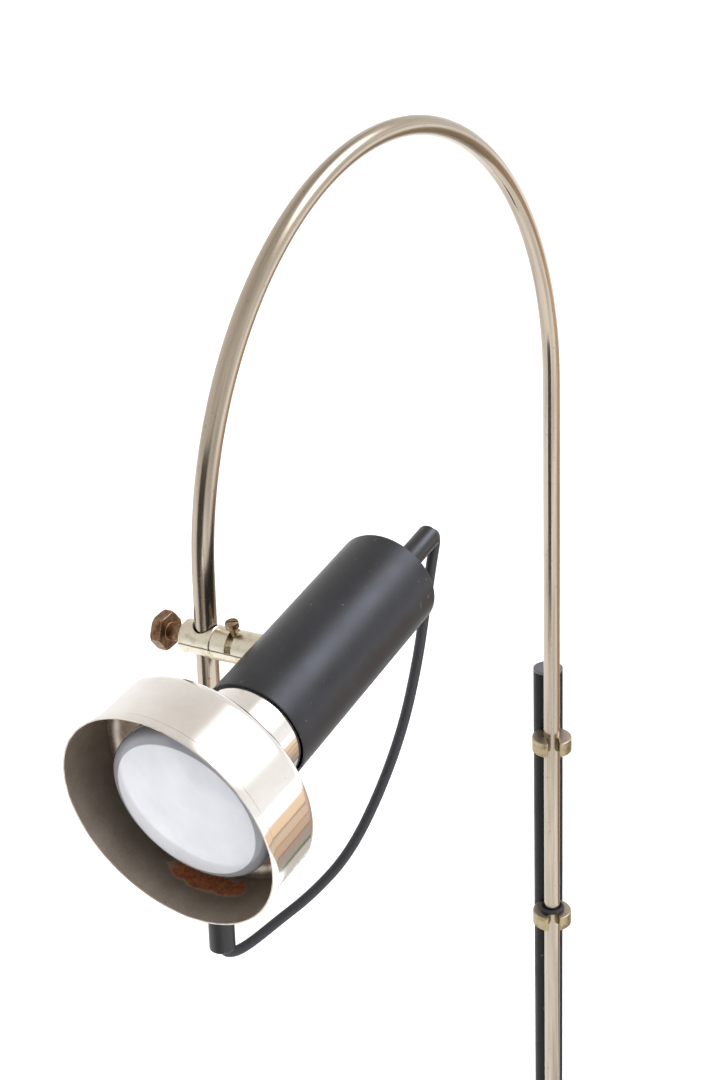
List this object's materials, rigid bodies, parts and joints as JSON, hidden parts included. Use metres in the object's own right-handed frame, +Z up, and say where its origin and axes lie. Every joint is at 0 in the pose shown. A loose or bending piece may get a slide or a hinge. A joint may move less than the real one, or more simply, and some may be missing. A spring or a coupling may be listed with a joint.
{
  "type": "adjustable arm floor lamp",
  "caption": "Floor lamp with a bent arm tube that slides and turns in clips on a short pole, carrying a tilting spot head on a clamp.",
  "frame": {"origin": "centre of the base's underside, on the pole's axis", "axes": "+Z up along the pole; the arm's bend lies parallel to the XZ plane and reaches towards -X; the head hangs on the -Y side of the arm's short leg"},
  "size_m": [0.7585, 0.2928, 1.4785],
  "materials": {
    "felt": "matte",
    "black_paint": "satin",
    "grey_cap": "matte",
    "steel": "plain",
    "worn_nickel": "worn plating",
    "black_rubber": "matte",
    "nickel_tube": "polished",
    "lead_rubber": "matte",
    "black_plastic": "satin",
    "liner_plastic": "matte",
    "satin_nickel": "satin plating",
    "screw_nickel": "worn plating",
    "brass": "aged",
    "satin_black": "satin",
    "chrome": "polished",
    "phenolic": "gloss",
    "terminal_plastic": "gloss",
    "opal_glass": "opal",
    "solder": "dull"
  },
  "bodies": {
    "stand": {"base_pad": "felt", "base_plate": "black_paint", "pole": "black_paint", "pole_cap": "grey_cap", "pole_plug": "steel", "base_bolt": "steel", "base_washer": "steel", "upper_clip": "worn_nickel", "lower_clip": "worn_nickel"},
    "ring": {"stop_ring": "black_rubber"},
    "arm": {"arm_tube": "nickel_tube", "arm_lead": "lead_rubber", "head_leg_cap": "black_plastic", "tail_cap": "black_plastic", "leg_lead": "lead_rubber"},
    "liner": {"clamp_liner": "liner_plastic"},
    "clamp": {"clamp_body": "satin_nickel", "tilt_screw": "screw_nickel", "pressure_disc": "brass", "clamp_lead": "lead_rubber"},
    "knob": {"clamp_knob": "brass"},
    "head": {"swivel_sleeve": "satin_nickel", "sleeve_nipple": "steel", "sleeve_nut": "steel", "housing": "satin_black", "cord_grip": "black_plastic", "grip_nut": "black_plastic", "shade": "chrome", "lampholder": "phenolic", "shade_ring": "phenolic", "screw_shell": "brass", "centre_contact": "brass", "holder_bridge": "steel", "holder_nipple": "steel", "holder_nut": "steel", "terminal_block": "terminal_plastic", "bulb_glass": "opal_glass", "bulb_cap": "brass", "bulb_contact": "solder", "head_lead": "lead_rubber"}
  },
  "joints": [
    {"name": "arm_swivel", "type": "hinge", "parent": "stand", "child": "ring", "pos_m": [-0.01874, -0.01245, 0.791], "axis": [0, 0, 1], "range_deg": [-150, 150]},
    {"name": "arm_height", "type": "slide", "parent": "ring", "child": "arm", "axis": [0, 0, 1], "range_m": [-0.25, 0.4]},
    {"name": "head_height", "type": "slide", "parent": "arm", "child": "liner", "axis": [0.0384, 0, 0.9993], "range_m": [-0.15, 0.015], "deforming": ["leg_lead"]},
    {"name": "head_swivel", "type": "hinge", "parent": "liner", "child": "clamp", "pos_m": [-0.464, -0.01245, 1.2215], "axis": [0.0384, 0, 0.9993], "range_deg": [-60, 60], "deforming": ["clamp_lead"]},
    {"name": "head_tilt", "type": "hinge", "parent": "clamp", "child": "head", "pos_m": [-0.464, -0.08445, 1.2215], "axis": [0, 1, 0], "range_deg": [-55, 55], "deforming": ["head_lead"]},
    {"name": "knob_turn", "type": "hinge", "parent": "clamp", "child": "knob", "pos_m": [-0.464, -0.01245, 1.2215], "axis": [0, 1, 0], "continuous": true}
  ]
}
